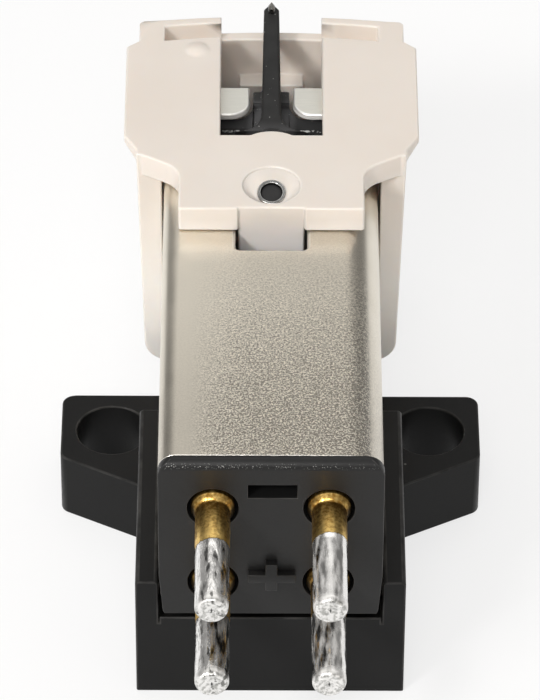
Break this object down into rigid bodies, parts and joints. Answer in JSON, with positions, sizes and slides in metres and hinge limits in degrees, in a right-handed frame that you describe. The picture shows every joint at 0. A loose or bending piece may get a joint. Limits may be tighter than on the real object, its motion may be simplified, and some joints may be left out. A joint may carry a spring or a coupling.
{
  "type": "turntable stylus cartridge",
  "caption": "Moving-magnet phono cartridge on a half-inch bracket: bead-blasted shield can, ivory pull-off stylus holder with a slanted cantilever, and plated terminal pins.",
  "frame": {"origin": "midway between the two mounting holes, on the mounting face", "axes": "+X to the right seen from the terminal pins, +Y along the cartridge to the stylus, +Z away from the headshell, out of the stylus side"},
  "size_m": [0.0168, 0.0318, 0.0144],
  "materials": {
    "bracket_plastic": "satin black moulded plastic",
    "can_nickel": "bead-blasted nickel plating",
    "terminal_plastic": "satin dark moulded plastic",
    "pin_plated": "gold plated, with a tinned prong",
    "core_steel": "bright annealed core iron",
    "coil_bobbin": "natural nylon",
    "coil_copper": "enamelled copper wire",
    "holder_ivory": "ivory moulded plastic, semi-gloss",
    "sleeve_metal": "bright nickel",
    "tube_aluminium": "drawn tube",
    "wire_steel": "drawn steel wire",
    "damper_rubber": "soft black rubber",
    "cantilever_black": "carbon-filled moulding, matt black",
    "shank_metal": "ground metal",
    "tip_diamond": "polished diamond",
    "guide_metal": "satin folded sheet",
    "magnet_dark": "sintered rod magnet"
  },
  "bodies": {
    "cartridge_body": {"mounting_bracket": "bracket_plastic", "shield_can": "can_nickel", "terminal_plate": "terminal_plastic", "pin_left_return": "pin_plated", "pin_left_signal": "pin_plated", "pin_right_return": "pin_plated", "pin_right_signal": "pin_plated", "pole_core_left": "core_steel", "pole_core_right": "core_steel", "coil_bobbin_left_a": "coil_bobbin", "coil_bobbin_left_b": "coil_bobbin", "coil_bobbin_right_a": "coil_bobbin", "coil_bobbin_right_b": "coil_bobbin", "coil_winding_left_a": "coil_copper", "coil_winding_left_b": "coil_copper", "coil_winding_right_a": "coil_copper", "coil_winding_right_b": "coil_copper"},
    "stylus_assembly": {"stylus_holder": "holder_ivory", "clamp_sleeve": "sleeve_metal", "tension_tube": "tube_aluminium", "tie_wire": "wire_steel", "guide_plate_left": "guide_metal", "guide_plate_right": "guide_metal"},
    "damper_ring": {"suspension_damper": "damper_rubber"},
    "cantilever_assembly": {"cantilever": "cantilever_black", "stylus_shank": "shank_metal", "diamond_tip": "tip_diamond", "magnet_left": "magnet_dark", "magnet_right": "magnet_dark"}
  },
  "joints": [
    {"name": "stylus_pull", "type": "slide", "parent": "cartridge_body", "child": "stylus_assembly", "axis": [0, 1, 0], "range_m": [0, 0.012]},
    {"name": "cantilever_lift", "type": "hinge", "parent": "stylus_assembly", "child": "damper_ring", "pos_m": [0, 0.0072, 0.01141], "axis": [1, 0, 0], "range_deg": [-5, 2], "stiffness_Nm_per_rad": 0.0025, "deforming": ["suspension_damper", "tie_wire"]},
    {"name": "cantilever_sway", "type": "hinge", "parent": "damper_ring", "child": "cantilever_assembly", "pos_m": [0, 0.0072, 0.01141], "axis": [0, 0, 1], "range_deg": [-2, 2], "stiffness_Nm_per_rad": 0.0025}
  ]
}
